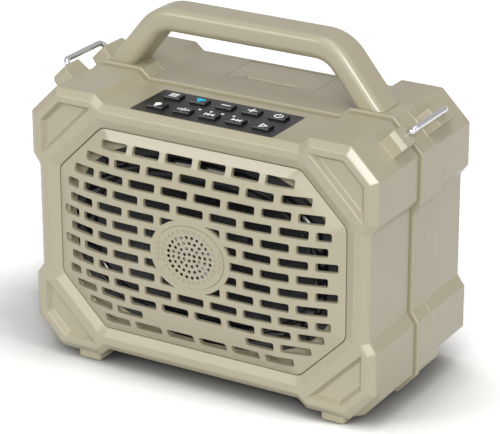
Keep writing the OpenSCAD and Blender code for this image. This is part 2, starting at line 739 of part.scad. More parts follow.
// Rear shell: a collar on the band's outline, then the guards; the port bay opens in its deck
module rear_shell() color(sand) place() difference() {
    union() {
        difference() {
            intersection() {
                loft([at_depth(band_ring(1), rear_y - 0.5), at_depth(band_ring(0), rear_y + 0.5),
                    at_depth(band_ring(0), collar_y), at_depth(shell_ring(0), collar_y + 1),
                    at_depth(shell_ring(0), case_d - bevel_d),
                    at_depth(shell_ring(1.5 * bevel_in), case_d + bevel_d / 2)]);
                slab(rear_y, case_d);
            }
            along_y(rear_y - 1, back_y) polygon(shell_ring(wall));
        }
        for (side = [-1, 1]) on_cut(side)
            lug(rear_lug_y + rear_lug, rear_lug_y, -1);
        boss_places() rod_y(boss_d + 1, 0, 0, front_d, back_y + eps);
        bay_block();
        main_post_places() rod_y(screw_d + 4, 0, 0, main_y, back_y + eps);
    }
    for (side = [-1, 1]) on_cut(side) bar_bores();
    boss_places() {
        rod_y(screw_d + 2 * set_gap, 0, 0, front_d - 1, case_d + 1);
        rod_y(2 * screw_d + 2 * run_gap, 0, 0, rear_y, case_d + 1);
    }
    main_post_places() rod_y(screw_d + 2 * bore_gap, 0, 0, main_y - 1, back_y - 1);
    bay_cut();
    rear_recess();
}

// Shallow octagonal recess in the back, with sloped edges
recess_d = 1.6;
module rear_recess() {
    loft([at_depth(grille_ring(-8), case_d - recess_d), at_depth(grille_ring(-6.4), case_d + eps)]);
}

module shell_screws() color("#8b8c8e") place() boss_places() {
    rod_y(2 * screw_d, 0, 0, rear_y, rear_y + screw_d);
    rod_y(screw_d, 0, 0, front_d - 18, rear_y + eps);
}

// Section of the grip, flatter above and rounder below: depth, then thickness
grip_corners = [[1, -1, grip_low_r, -90], [1, 1, grip_top_r, 0],
    [-1, 1, grip_top_r, 90], [-1, -1, grip_low_r, 180]];
grip_section = [for (c = grip_corners, turn = [0:22.5:90]) [
    c[0] * (grip_d / 2 - c[2]) + c[2] * cos(c[3] + turn),
    c[1] * (grip_t / 2 - c[2]) + c[2] * sin(c[3] + turn)]];

// Middle line of the handle: level grip, a bend, then a straight leg on either side
handle_front = band_y + bead_d + handle_gap;
handle_y = handle_front + grip_d / 2;
grip_z = case_h + handle_h - grip_t / 2;
bend_x = leg_mid - (grip_z - foot_plane) / tan(leg_tilt) - bend_r * tan(leg_tilt / 2);
bend_steps = 7;
function grip_ring(x, z, slope) =
    [for (p = grip_section) [x + p[1] * sin(slope), handle_y + p[0], z + p[1] * cos(slope)]];
function foot_ring(side) =
    [for (p = grip_section) [side * (leg_mid + p[1] / sin(leg_tilt)), handle_y + p[0], foot_plane]];
function bend_ring(side, k) = let (turn = leg_tilt * k / bend_steps)
    grip_ring(side * (bend_x + bend_r * sin(turn)), grip_z - bend_r * (1 - cos(turn)), side * turn);
module handle_screw_places() {
    for (side = [-1, 1], y = [handle_front + screw_edge, rear_y - screw_edge])
        translate([side * (leg_mid - screw_lean) - handle_shift, y, case_h - wall / 2]) children();
}
module carry_handle() color(sand) place() difference() {
    translate([-handle_shift, 0, 0]) loft(concat([foot_ring(-1)],
        [for (k = [bend_steps:-1:0]) bend_ring(-1, k)],
        [for (k = [0:bend_steps]) bend_ring(1, k)], [foot_ring(1)]));
    handle_screw_places()
        cylinder(d = screw_d + 2 * bore_gap, h = wall / 2 + band_grow + handle_bite + bore_end);
}

module handle_screws() color("#8b8c8e") place() handle_screw_places() {
    translate([0, 0, -wall / 2 - head_h]) cylinder(d = 2 * screw_d, h = head_h);
    translate([0, 0, -wall / 2 - eps]) cylinder(d = screw_d, h = wall + band_grow + handle_bite);
}

// Bent rod with a leg in each lug of one corner
module strap_bar(side) color("#d6d8db") place() on_cut(side) {
    foot = lug_h - leg_sink + run_gap;
    for (y = [bar_front, bar_rear])
        translate([0, y, foot]) cylinder(d = rod_d, h = bar_rise - rod_bend - foot);
    translate([0, bar_front + rod_bend, bar_rise]) rotate([-90, 0, 0])
        cylinder(d = rod_d, h = bar_len - 2 * rod_bend);
    translate([0, bar_front + rod_bend, bar_rise - rod_bend]) rotate([90, 0, -90])
        rotate_extrude(angle = 90) translate([rod_bend, 0]) circle(d = rod_d);
    translate([0, bar_rear - rod_bend, bar_rise - rod_bend]) rotate([90, 0, 90])
        rotate_extrude(angle = 90) translate([rod_bend, 0]) circle(d = rod_d);
}
module left_strap_bar() strap_bar(-1);
module right_strap_bar() strap_bar(1);

// Key panel, its seat in the deck and the places of the keys
panel_mid = panel_y + panel_d / 2;
key_mid = panel_mid + key_shift;
key_ledge = 3;
flange_gap = 0.1;
flange_h = 1;
flange_side = 0.75;
plunger_h = 0.5;
key_foot = deck_z - panel_t - flange_gap - flange_h;
key_board_z = key_foot - key_travel - run_gap - switch_h;
board_boss_x = panel_w / 2 + 6;
board_y0 = cavity_y + 1;
board_y1 = panel_y + panel_d;
board_edge = 5;
board_boss_y = [board_y0 + board_edge, board_y1 - board_edge];
function key_place(col, row) = [col * key_pitch, key_mid + (row - 0.5) * key_rows];
dots = [for (i = [-1.5:1.5]) [i * dot_pitch, key_mid - 1.2]];
module panel_plate(grow, r) {
    translate([0, panel_mid]) polygon(round_ring(box_ring(panel_w + 2 * grow, panel_d + 2 * grow), r, 3));
}
module panel_seat() {
    window_y0 = key_mid - key_rows / 2 - key_d / 2 - flange_side - run_gap;
    window_y1 = key_mid + key_rows / 2 + key_d / 2 + flange_side + run_gap;
    window_w = 4 * key_pitch + key_w + 2 * flange_side + 2 * run_gap;
    translate([0, 0, deck_z - panel_t]) linear_extrude(panel_t + 1) panel_plate(set_gap, 1.5);
    translate([-window_w / 2, window_y0, key_board_z - board_t - 1])
        cube([window_w, window_y1 - window_y0, deck_z - key_board_z + board_t]);
}

module key_panel() color(ink) place() translate([0, 0, deck_z - panel_t])
    linear_extrude(panel_t) difference() {
        panel_plate(0, 1.5);
        for (col = [-2:2], row = [0, 1]) translate(key_place(col, row))
            square([key_w + 2 * run_gap, key_d + 2 * run_gap], center = true);
        for (dot = dots) translate(dot) circle(d = dot_d + 2 * bore_gap);
    }

// A key cap with bevelled edges, and the flange that holds it under the panel
module key_cap(col, row) color(ink) place() translate(concat(key_place(col, row), 0)) {
    rotate([90, 0, 90]) linear_extrude(key_w, center = true)
        polygon([[-key_d / 2, key_foot], [-key_d / 2, deck_z + key_h - 2 * key_bevel],
            [key_bevel - key_d / 2, deck_z + key_h], [key_d / 2 - key_bevel, deck_z + key_h],
            [key_d / 2, deck_z + key_h - key_bevel], [key_d / 2, key_foot]]);
    translate([0, 0, key_foot + flange_h / 2])
        cube([key_w + 2 * flange_side, key_d + 2 * flange_side, flange_h], center = true);
}
module key_mode() key_cap(-2, 1);
module key_wireless() key_cap(-1, 1);
module key_minus() key_cap(0, 1);
module key_plus() key_cap(1, 1);
module key_power() key_cap(2, 1);
module key_light() key_cap(-2, 0);
module key_bass() key_cap(-1, 0);
module key_previous() key_cap(0, 0);
module key_next() key_cap(1, 0);
module key_play() key_cap(2, 0);

module light_pipes() color("white") place() for (dot = dots)
    translate([dot[0], dot[1], key_board_z]) cylinder(d = dot_d, h = deck_z - key_board_z);

module key_board() color("#1f5a3c") place() difference() {
    translate([-board_boss_x - board_edge, board_y0, key_board_z - board_t])
        cube([2 * (board_boss_x + board_edge), board_y1 - board_y0, board_t]);
    for (x = [-board_boss_x, board_boss_x], y = board_boss_y)
        translate([x, y, key_board_z - board_t - 1]) cylinder(d = screw_d + 2 * set_gap, h = board_t + 2);
}

module key_switches() color("#4a4c50") place() for (col = [-2:2], row = [0, 1])
    translate(concat(key_place(col, row), key_board_z)) {
        translate([-switch_s / 2, -switch_s / 2, 0]) cube([switch_s, switch_s, switch_h - plunger_h]);
        cylinder(d = switch_s / 2, h = switch_h);
    }

module key_board_screws() color("#8b8c8e") place()
    for (x = [-board_boss_x, board_boss_x], y = board_boss_y)
        translate([x, y, key_board_z - board_t]) {
            translate([0, 0, -head_h]) cylinder(d = 2 * screw_d - 1, h = head_h);
            translate([0, 0, -eps]) cylinder(d = screw_d, h = board_t + wall);
        }

// Port bay in the rear deck: block under the deck, cut and hinge line
hinge_y = case_d - bevel_d - 4.5;
bay_y0 = hinge_y - flap_d - run_gap;
hinge_z = deck_z - knuckle_r;
bay_y1 = hinge_y + knuckle_r + run_gap;
bay_floor = deck_z - bay_d;
bay_side = flap_w / 2 + run_gap;
floor_t = 2;
module bay_block() {
    translate([-bay_side - 4, bay_y0 - 4, bay_floor - floor_t])
        cube([2 * bay_side + 8, back_y - bay_y0 + 4 + eps, deck_z - wall / 2 - bay_floor + floor_t]);
    port_post_places() translate([0, 0, -socket_h + floor_t])
        cylinder(d = screw_d + 3, h = socket_h - floor_t + eps);
}
module bay_cut() {
    translate([-bay_side, bay_y0, bay_floor]) cube([2 * bay_side, bay_y1 - bay_y0, bay_d + 1]);
    translate([-bay_side - 3, hinge_y, hinge_z]) rotate([0, 90, 0])
        cylinder(d = pin_d + 2 * bore_gap, h = 2 * bay_side + 6);
    for (port = [charge_port, audio_port, card_port])
        translate([port[0], socket_y, bay_floor - floor_t / 2])
            cube([port[1] + 2 * set_gap, port[2] + 2 * set_gap, 2 * floor_t], center = true);
    port_post_places() translate([0, 0, -socket_h])
        cylinder(d = screw_d - 0.5 + 2 * bore_gap, h = socket_h - 0.5);
}

// Sockets in the bay's floor: place along the width, width and depth
charge_port = [-18, 9.4, 3.6];
audio_port = [0, 7, 7];
card_port = [17, 14, 3];
socket_y = (bay_y0 + bay_y1) / 2;
port_board_z = bay_floor - socket_h;
port_board_d = 18;
module port_post_places() {
    for (x = [-bay_side + 1, bay_side - 1]) translate([x, socket_y, bay_floor - floor_t]) children();
}

// Rubber flap with a knuckle along its rear edge and a finger scoop along its front edge
module port_cover() color(sand) place() difference() {
    union() {
        translate([-flap_w / 2, hinge_y - flap_d, deck_z - flap_t]) cube([flap_w, flap_d, flap_t]);
        translate([-flap_w / 2, hinge_y, hinge_z]) rotate([0, 90, 0]) cylinder(r = knuckle_r, h = flap_w);
    }
    translate([-flap_w / 2 - 1, hinge_y, hinge_z]) rotate([0, 90, 0])
        cylinder(d = pin_d + 2 * bore_gap, h = flap_w + 2);
    translate([-scoop_w / 2, hinge_y - flap_d - 1, deck_z - flap_t / 2])
        cube([scoop_w, scoop_d + 1, flap_t]);
}

module port_hinge_pin() color("#b9bcc0") place()
    translate([-bay_side - 2.5, hinge_y, hinge_z]) rotate([0, 90, 0])
        cylinder(d = pin_d, h = 2 * bay_side + 5);

module port_board() color("#1f5a3c") place() difference() {
    translate([-bay_side - 3, socket_y - port_board_d / 2, port_board_z - board_t])
        cube([2 * bay_side + 6, port_board_d, board_t]);
    port_post_places() translate([0, 0, -socket_h]) cylinder(d = screw_d + 2 * set_gap, h = socket_h - 1);
}

module charge_socket() color("#aeb1b5") place() difference() {
    translate([charge_port[0] - charge_port[1] / 2, socket_y - charge_port[2] / 2, port_board_z])
        cube([charge_port[1], charge_port[2], socket_h]);
    translate([charge_port[0], socket_y, bay_floor - 2])
        cube([charge_port[1] - 1, charge_port[2] - 1, 6], center = true);
}
module audio_socket() color("#2f3033") place() difference() {
    translate([audio_port[0] - audio_port[1] / 2, socket_y - audio_port[2] / 2, port_board_z])
        cube([audio_port[1], audio_port[2], socket_h]);
    translate([audio_port[0], socket_y, bay_floor - socket_h + 1]) cylinder(d = 3.6, h = socket_h);
}
module card_socket() color("#aeb1b5") place() difference() {
    translate([card_port[0] - card_port[1] / 2, socket_y - card_port[2] / 2, port_board_z])
        cube([card_port[1], card_port[2], socket_h]);
    translate([card_port[0] - card_port[1] / 2 + 1.2, socket_y - 0.5, bay_floor - 8])
        cube([card_port[1] - 2.4, 1, 9]);
}

module port_board_screws() color("#8b8c8e") place() port_post_places()
    translate([0, 0, floor_t - socket_h - board_t]) {
        translate([0, 0, -head_h]) cylinder(d = 2 * screw_d - 1, h = head_h);
        translate([0, 0, -eps]) cylinder(d = screw_d - 0.5, h = board_t + port_bite);
    }

// Main board on posts of the rear wall, over the battery
main_y = back_y - post_h;
main_mid = port_board_z - board_t - 8 - main_h / 2;
module main_post_places() {
    for (x = [-1, 1], z = [-1, 1])
        translate([x * (main_w / 2 - 5), 0, main_mid + z * (main_h / 2 - 5)]) children();
}
module main_board() color("#1f5a3c") place() difference() {
    translate([-main_w / 2, main_y - board_t, main_mid - main_h / 2]) cube([main_w, board_t, main_h]);
    main_post_places() rod_y(screw_d + 2 * set_gap, 0, 0, main_y - board_t - 1, main_y + 1);
}
module main_board_screws() color("#8b8c8e") place() main_post_places() {
    rod_y(2 * screw_d - 1, 0, 0, main_y - board_t - head_h, main_y - board_t);
    rod_y(screw_d, 0, 0, main_y - board_t - eps, main_y + main_bite);
}

// Cells along the width, side by side up the rear wall, in a holder with round beds
cell_pitch = cell_d + 1.2;
cell_low = deck_drop + wall + 2 + cell_d / 2;
cell_y = back_y - 2 - cell_d / 2;
module battery_holder() color("#2d2e31") place() difference() {
    translate([-cell_l / 2 - 3, cell_y, deck_drop + wall])
        cube([cell_l + 6, back_y - cell_y, cell_count * cell_pitch + 2]);
    for (i = [0:cell_count - 1]) translate([-cell_l / 2 - set_gap, cell_y, cell_low + i * cell_pitch])
        rotate([0, 90, 0]) cylinder(d = cell_d + 2 * set_gap, h = cell_l + 2 * set_gap);
}
module battery_cells() color("#3c6fa8") place() for (i = [0:cell_count - 1])
    translate([-cell_l / 2, cell_y, cell_low + i * cell_pitch]) rotate([0, 90, 0])
        cylinder(d = cell_d, h = cell_l);

// Four feet under the guards, rounded at their corners and bevelled round the sole
foot_line = round_ring(box_ring(foot_w, foot_d), foot_r, 3);
foot_x = guard_x + foot_lead + foot_w / 2;
module feet() color(sand) place()
    for (x = [foot_shift - foot_x, foot_shift + foot_x],
        y = [foot_y + foot_d / 2, case_d - foot_y - foot_d / 2])
        translate([x, y, 0]) rotate([-90, 0, 0])
            loft([at_depth(foot_line, 0), at_depth(foot_line, foot_h - foot_bevel),
                at_depth(inset_ring(foot_line, foot_bevel), foot_h)]);

front_shell();
grille();
tweeter_cover();
tweeter();
woofer_gasket();
woofer_basket();
woofer_surround();
woofer_cone();
dust_cap();
woofer_magnet();
woofer_screws();
shell_seal();
middle_band();
rear_shell();
shell_screws();
carry_handle();
handle_screws();
left_strap_bar();
right_strap_bar();
key_panel();
key_mode();
key_wireless();
key_minus();
key_plus();
key_power();
key_light();
key_bass();
key_previous();
key_next();
key_play();
light_pipes();
key_board();
key_switches();
key_board_screws();
port_cover();
port_hinge_pin();
port_board();
charge_socket();
audio_socket();
card_socket();
port_board_screws();
main_board();
main_board_screws();
battery_holder();
battery_cells();
feet();
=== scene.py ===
"""Looks of an outdoor speaker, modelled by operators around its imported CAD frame."""

import json
import math

import bmesh
import bpy
from mathutils import Matrix, Vector


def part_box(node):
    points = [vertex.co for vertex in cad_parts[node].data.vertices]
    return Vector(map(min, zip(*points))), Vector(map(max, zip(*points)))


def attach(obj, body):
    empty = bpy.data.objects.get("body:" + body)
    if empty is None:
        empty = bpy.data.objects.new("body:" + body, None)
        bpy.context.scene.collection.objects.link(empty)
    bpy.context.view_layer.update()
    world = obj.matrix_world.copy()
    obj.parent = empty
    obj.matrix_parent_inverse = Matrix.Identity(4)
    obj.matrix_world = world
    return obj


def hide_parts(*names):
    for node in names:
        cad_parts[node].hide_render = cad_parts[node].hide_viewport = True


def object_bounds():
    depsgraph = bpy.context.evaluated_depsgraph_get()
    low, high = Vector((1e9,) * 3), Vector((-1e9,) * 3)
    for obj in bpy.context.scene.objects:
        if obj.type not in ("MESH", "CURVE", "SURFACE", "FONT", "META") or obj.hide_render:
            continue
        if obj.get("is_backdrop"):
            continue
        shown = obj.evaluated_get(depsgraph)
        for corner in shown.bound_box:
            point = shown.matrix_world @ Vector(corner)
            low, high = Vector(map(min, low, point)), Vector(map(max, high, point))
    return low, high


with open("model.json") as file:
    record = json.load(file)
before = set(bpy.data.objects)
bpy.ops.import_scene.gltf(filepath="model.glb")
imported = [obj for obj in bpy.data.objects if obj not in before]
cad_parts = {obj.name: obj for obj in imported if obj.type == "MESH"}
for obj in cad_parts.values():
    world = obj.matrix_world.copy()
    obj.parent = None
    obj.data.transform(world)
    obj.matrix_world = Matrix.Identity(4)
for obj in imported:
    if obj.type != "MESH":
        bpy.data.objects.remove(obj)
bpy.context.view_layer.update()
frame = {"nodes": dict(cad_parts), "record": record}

bl_info = {
    "name": "Outdoor speaker",
    "version": (1, 0, 0),
    "blender": (4, 5, 0),
    "location": "3D View > Sidebar > Speaker",
    "description": "Dresses the CAD frame of an outdoor speaker"
                   " with rounded mouldings and finishes",
    "category": "Object",
}

MM = 0.001
# Vertices closer than this are one vertex of a joined copy
JOIN = 0.02 * MM
# Faces that meet at less than this lie in one plane
FLAT = math.radians(0.05)
# Edges sharper than this stay sharp or are rounded, and softer ones are shaded smooth
EDGE = math.radians(24)
# Steps across a rounded edge
ROUND_STEPS = 2
# How far a shell's wall and its bevel lean: the share of their normals that points to the front
# or the rear
WALL = (0, 0.5)
BEVEL = (0.7, 0.85)
# Least distance between the middles of two widened holes, in widths of a hole
HOLE_PITCH = 1.35
# Vertices this close to a plate's rear lie on it
REAR_LAYER = 0.1 * MM
# Steps of a symbol's arc, corners of its disc, and the share of its height that is sunk in the key
ARC_STEPS = 20
DISC_CORNERS = 32
SUNK = 0.2
# More than the corners of any shape of a symbol
RANK_STEP = 1000
KEYS = ("mode", "wireless", "minus", "plus", "power", "light", "bass", "previous", "next", "play")


class SpeakerFinish(bpy.types.PropertyGroup):
    """Colours of the finishes, as sRGB hex values."""

    sand: bpy.props.StringProperty(
        name="Sand ABS", description="Colour of the moulded shells", default="#B6AE94")
    seal: bpy.props.StringProperty(
        name="Seal rubber", description="Colour of the seal between the shells", default="#B2AA92")
    ink: bpy.props.StringProperty(
        name="Black ABS", description="Colour of the key panel and the keys", default="#121316")
    symbol: bpy.props.StringProperty(
        name="Symbol print", description="Colour of the symbols on the keys", default="#F1F1EC")
    lit_symbol: bpy.props.StringProperty(
        name="Lit symbol", description="Colour of the symbol that is lit", default="#10BEEA")
    # The weave's colour is that of the painted sheen on the threads; the painted shade between them
    # is a share of it
    weave: bpy.props.StringProperty(
        name="Cone weave", description="Colour of the woven cone's threads", default="#34353A")
    rubber: bpy.props.StringProperty(
        name="Surround rubber", description="Colour of the cone's surround", default="#101114")


class SpeakerSizes(bpy.types.PropertyGroup):
    """Sizes of the details that the finishes add."""

    shell_edge: bpy.props.FloatProperty(
        name="Shell edges", description="Radius of the softened edges of the shells",
        default=1.3 * MM, unit="LENGTH", precision=5)
    seam_edge: bpy.props.FloatProperty(
        name="Seam edges",
        description="Radius of the edges along the seams and the bevels of the casework",
        default=0.5 * MM, unit="LENGTH", precision=5)
    bevel_depth: bpy.props.FloatProperty(
        name="Bevel depth",
        description="Depth of the bevel round the front and the rear of the case",
        default=3.8 * MM, unit="LENGTH", precision=5)
    grille_gap: bpy.props.FloatProperty(
        name="Grille gap", description="Shadow gap that the grille's rim leaves to the bezel",
        default=0.45 * MM, unit="LENGTH", precision=5)
    slot_edge: bpy.props.FloatProperty(
        name="Slot edges", description="Radius of the softened edges of the slots and holes",
        default=0.4 * MM, unit="LENGTH", precision=5)
    key_edge: bpy.props.FloatProperty(
        name="Key edges",
        description="Radius of the edges of the keys, and twice that of the port cover's edges",
        default=0.15 * MM, unit="LENGTH", precision=5)
    cover_holes: bpy.props.FloatProperty(
        name="Cover holes",
        description="Share by which the tweeter cover's holes open towards their moulded edge",
        default=1.26)
    cover_thin: bpy.props.FloatProperty(
        name="Cover hollow", description="Depth of the hollow behind the tweeter cover",
        default=1.2 * MM, unit="LENGTH", precision=5)
    print_height: bpy.props.FloatProperty(
        name="Print height", description="Height of the symbols over the keys",
        default=0.12 * MM, unit="LENGTH", precision=5)
    stroke: bpy.props.FloatProperty(
        name="Stroke", description="Width of the symbols' lines",
        default=0.9 * MM, unit="LENGTH", precision=5)


class SpeakerStage(bpy.types.PropertyGroup):
    """Place and lens of the camera."""

    azimuth: bpy.props.FloatProperty(
        name="Azimuth", description="Angle of the camera round the speaker",
        default=math.radians(30.639), subtype="ANGLE")
    elevation: bpy.props.FloatProperty(
        name="Elevation", description="Angle of the camera over the floor",
        default=math.radians(22.313), subtype="ANGLE")
    roll: bpy.props.FloatProperty(
        name="Roll", description="Turn of the camera about its line of sight",
        default=math.radians(-0.125), subtype="ANGLE")
    distance: bpy.props.FloatProperty(
        name="Distance", description="Distance from the camera to the point it aims at",
        default=1660.4 * MM, unit="LENGTH")
    aim: bpy.props.FloatVectorProperty(
        name="Aim", description="Point that the camera aims at",
        default=(0.8 * MM, 4.1 * MM, 100.2 * MM), subtype="TRANSLATION")
    lens: bpy.props.FloatProperty(
        name="Lens", description="Focal length of the camera in millimetres", default=182.15)


def linear(hex_color):
    """Turn an sRGB hex value into linear RGBA."""
    parts = [int(hex_color[i:i + 2], 16) / 255 for i in (1, 3, 5)]
    return [p / 12.92 if p <= 0.04045 else ((p + 0.055) / 1.055) ** 2.4 for p in parts] + [1.0]


def add_node(tree, kind, settings=None, links=None):
    """Add a shader node, set its attributes and input values, and link its inputs."""
    node = tree.nodes.new(kind)
    for key, value in (settings or {}).items():
        if isinstance(key, str) and hasattr(node, key):
            setattr(node, key, value)
        else:
            node.inputs[key].default_value = value
    for key, source in (links or {}).items():
        tree.links.new(source, node.inputs[key])
    return node


def new_material(name):
    """Start a node material; return it with its tree, shader and Object coordinates."""
    material = bpy.data.materials.new(name)
    material.use_nodes = True
    tree = material.node_tree
    shader = tree.nodes["Principled BSDF"]
    place = add_node(tree, "ShaderNodeTexCoord").outputs["Object"]
    return material, tree, shader, place


def cells(size_mm):
    """Texture scale at which one cell measures this many millimetres."""
    return 1 / (size_mm * MM)


def bands(size_mm):
    """Wave texture scale at which one wave measures this many millimetres."""
    return math.pi / 10 / (size_mm * MM)


def noise(tree, place, size_mm, detail):
    """Noise pattern whose cells measure this many millimetres."""
    texture = add_node(tree, "ShaderNodeTexNoise", {"Scale": cells(size_mm), "Detail": detail},
                       {"Vector": place})
    return texture.outputs["Fac"]


def shaded(color, share):
    """Linear colour of a hex value, made darker or lighter by a share."""
    return [min(part * share, 1) for part in linear(color)[:3]] + [1.0]


def mixed_color(tree, first, second, pattern):
    """Colour that a pattern mixes from two."""
    # The sockets of a Mix node share their names, so they go by number
    mix = add_node(tree, "ShaderNodeMix", {"data_type": "RGBA", 6: first, 7: second}, {0: pattern})
    return mix.outputs[2]


def vary_gloss(tree, shader, pattern, low, high):
    """Let a pattern vary a shader's roughness between two values."""
    gloss = add_node(tree, "ShaderNodeMapRange", {"To Min": low, "To Max": high},
                     {"Value": pattern})
    tree.links.new(gloss.outputs["Result"], shader.inputs["Roughness"])


def moulded_plastic(name, color, roughness, shine, edge, drift):
    """ABS from a spark-eroded mould: a satin grain, a slight drift of tone and softened edges."""
    material, tree, shader, place = new_material(name)
    # The real grain is about 0.3 mm; it is drawn coarser so that it shows in the render
    grain = noise(tree, place, 1.1, 3.0)
    cloud = noise(tree, place, 60, 2.0)
    tone = mixed_color(tree, shaded(color, 1 - drift), shaded(color, 1 + drift), cloud)
    soft = add_node(tree, "ShaderNodeBevel", {"samples": 8, "Radius": edge})
    bump = add_node(tree, "ShaderNodeBump", {"Strength": 0.35, "Distance": 0.03 * MM},
                    {"Height": grain, "Normal": soft.outputs["Normal"]})
    shader.inputs["IOR"].default_value = 1.53
    shader.inputs["Specular IOR Level"].default_value = shine
    vary_gloss(tree, shader, grain, roughness - 0.05, roughness + 0.05)
    tree.links.new(tone, shader.inputs["Base Color"])
    tree.links.new(bump.outputs["Normal"], shader.inputs["Normal"])
    return material


def plain_metal(name, color, roughness, mark_mm):
    """Plated or polished metal with faint marks that vary its gloss."""
    material, tree, shader, place = new_material(name)
    marks = noise(tree, place, mark_mm, 4.0)
    shader.inputs["Base Color"].default_value = linear(color)
    shader.inputs["Metallic"].default_value = 1.0
    vary_gloss(tree, shader, marks, roughness * 0.6, roughness * 1.5)
    return material


def woven_cone(color):
    """Woven fibre cone: threads that cross in turn, painted sheen on them and painted shade
    between.
    """
    material, tree, shader, place = new_material("Woven fibre cone")
    thread_mm = 1.7
    turned = add_node(tree, "ShaderNodeMapping", {"Rotation": (0, math.radians(45), 0)},
                      {"Vector": place})
    source = {"Vector": turned.outputs["Vector"]}
    warp, weft = (add_node(tree, "ShaderNodeTexWave",
                           {"bands_direction": way, "Scale": bands(thread_mm)}, source)
                  for way in "XZ")
    over = add_node(tree, "ShaderNodeTexChecker", {"Scale": cells(thread_mm)}, source)
    thread = add_node(tree, "ShaderNodeMix", {}, {0: over.outputs["Fac"], 2: warp.outputs["Fac"],
                                                  3: weft.outputs["Fac"]})
    # The threads' colour runs from painted shade between them to a painted sheen on them
    tone = mixed_color(tree, shaded(color, 0.12), linear(color), thread.outputs[0])
    bump = add_node(tree, "ShaderNodeBump", {"Strength": 0.6, "Distance": 0.3 * MM},
                    {"Height": thread.outputs[0]})
    shader.inputs["Roughness"].default_value = 0.45
    tree.links.new(tone, shader.inputs["Base Color"])
    tree.links.new(bump.outputs["Normal"], shader.inputs["Normal"])
    return material


def smooth_rubber(name, color, roughness):
    """Moulded rubber: a dark even skin with faint bloom."""
    material, tree, shader, place = new_material(name)
    bloom = noise(tree, place, 14, 3.0)
    shader.inputs["Base Color"].default_value = linear(color)
    shader.inputs["IOR"].default_value = 1.52
    vary_gloss(tree, shader, bloom, roughness * 0.8, roughness * 1.25)
    return material


def spun_dome():
    """Polished aluminium dome with the rings of its spinning lathe."""
    material, tree, shader, place = new_material("Spun aluminium")
    middle = sum(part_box("tweeter"), Vector()) / 2
    centred = add_node(tree, "ShaderNodeMapping", {"Location": -middle}, {"Vector": place})
    rings = add_node(tree, "ShaderNodeTexWave",
                     {"wave_type": "RINGS", "rings_direction": "Y", "Scale": bands(1.2)},
                     {"Vector": centred.outputs["Vector"]})
    bump = add_node(tree, "ShaderNodeBump", {"Strength": 0.15, "Distance": 0.05 * MM},
                    {"Height": rings.outputs["Fac"]})
    shader.inputs["Base Color"].default_value = linear("#9A9CA0")
    shader.inputs["Metallic"].default_value = 1.0
    shader.inputs["Roughness"].default_value = 0.2
    tree.links.new(bump.outputs["Normal"], shader.inputs["Normal"])
    return material


def symbol_print(name, color, glow):
    """Screen print on a key, with the slight mottle of its ink; a lit one glows, unlit print has a
    painted glow.
    """
    material, tree, shader, place = new_material(name)
    mottle = noise(tree, place, 0.8, 2.0)
    shader.inputs["Base Color"].default_value = linear(color)
    shader.inputs["Emission Color"].default_value = linear(color)
    shader.inputs["Emission Strength"].default_value = glow
    vary_gloss(tree, shader, mottle, 0.45, 0.65)
    return material


def circuit_board():
    """Glass-fibre board under green solder mask, with the faint lines of its copper."""
    material, tree, shader, place = new_material("Solder-masked board")
    mask = {"Color1": linear("#124A30"), "Color2": linear("#155437"), "Mortar": linear("#2B7A55")}
    lines = add_node(tree, "ShaderNodeTexBrick", {"Scale": cells(10), "Mortar Size": 0.04, **mask},
                     {"Vector": place})
    shader.inputs["Roughness"].default_value = 0.35
    tree.links.new(lines.outputs["Color"], shader.inputs["Base Color"])
    return material


def make_materials(finish, sizes):
    """One material for each finish, by the record's slot names where they share one."""
    sand, key_edge = finish.sand, sizes.key_edge
    return {
        "sand_abs": moulded_plastic("Moulded sand ABS", sand, 0.32, 0.85, sizes.shell_edge, 0.02),
        "fine_abs": moulded_plastic("Finely cut sand ABS", sand, 0.32, 0.85, sizes.slot_edge, 0.02),
        "black_abs": moulded_plastic("Moulded black ABS", finish.ink, 0.32, 0.45, key_edge, 0.06),
        "dark_rubber": smooth_rubber("Gloss butyl rubber", finish.rubber, 0.22),
        "sand_rubber": smooth_rubber("Sand seal rubber", finish.seal, 0.7),
        "black_steel": moulded_plastic("Black painted steel", "#17181A", 0.45, 0.5, key_edge, 0.05),
        "woven_cone": woven_cone(finish.weave),
        "ferrite": moulded_plastic("Sintered ferrite", "#3A3A3B", 0.7, 0.5, key_edge, 0.1),
        "zinc_steel": plain_metal("Zinc-plated steel", "#A8AAA8", 0.35, 2.0),
        "chrome_rod": plain_metal("Chromed steel", "#D6D6DA", 0.12, 3.0),
        "silver_dome": spun_dome(),
        "light_guide": symbol_print("Lit acrylic", "#F5F6F2", 0.35),
        "circuit_board": circuit_board(),
        "plated_steel": plain_metal("Nickel-plated steel", "#B9BABD", 0.25, 2.0),
        "cell_wrap": smooth_rubber("Shrink film", "#2C62A0", 0.3),
        # The white print is not lit: its glow is painted light that brightens it
        "symbol": symbol_print("White key print with painted glow", finish.symbol, 0.3),
        "lit_symbol": symbol_print("Blue lit print", finish.lit_symbol, 0.7),
    }


MATERIALS = {}
SLOTS = {row["node"]: row["material_slot"] for row in frame["record"]["subparts"]}


def only(piece):
    """Select one object alone and make it the active one."""
    bpy.ops.object.select_all(action="DESELECT")
    piece.select_set(True)
    bpy.context.view_layer.objects.active = piece


def joined_copy(node, name):
    """Copy a CAD node's mesh as a new object, with its loose triangles joined into whole faces."""
    piece = bpy.data.objects.new(name, frame["nodes"][node].data.copy())
    bpy.context.scene.collection.objects.link(piece)
    only(piece)
    bpy.ops.mesh.customdata_custom_splitnormals_clear()
    bpy.ops.object.mode_set(mode="EDIT")
    bpy.ops.mesh.select_all(action="SELECT")
    bpy.ops.mesh.remove_doubles(threshold=JOIN)
    bpy.ops.mesh.dissolve_limited(angle_limit=FLAT)
    bpy.ops.mesh.select_all(action="SELECT")
    bpy.ops.mesh.vert_connect_concave()
    bpy.ops.object.mode_set(mode="OBJECT")
    return piece


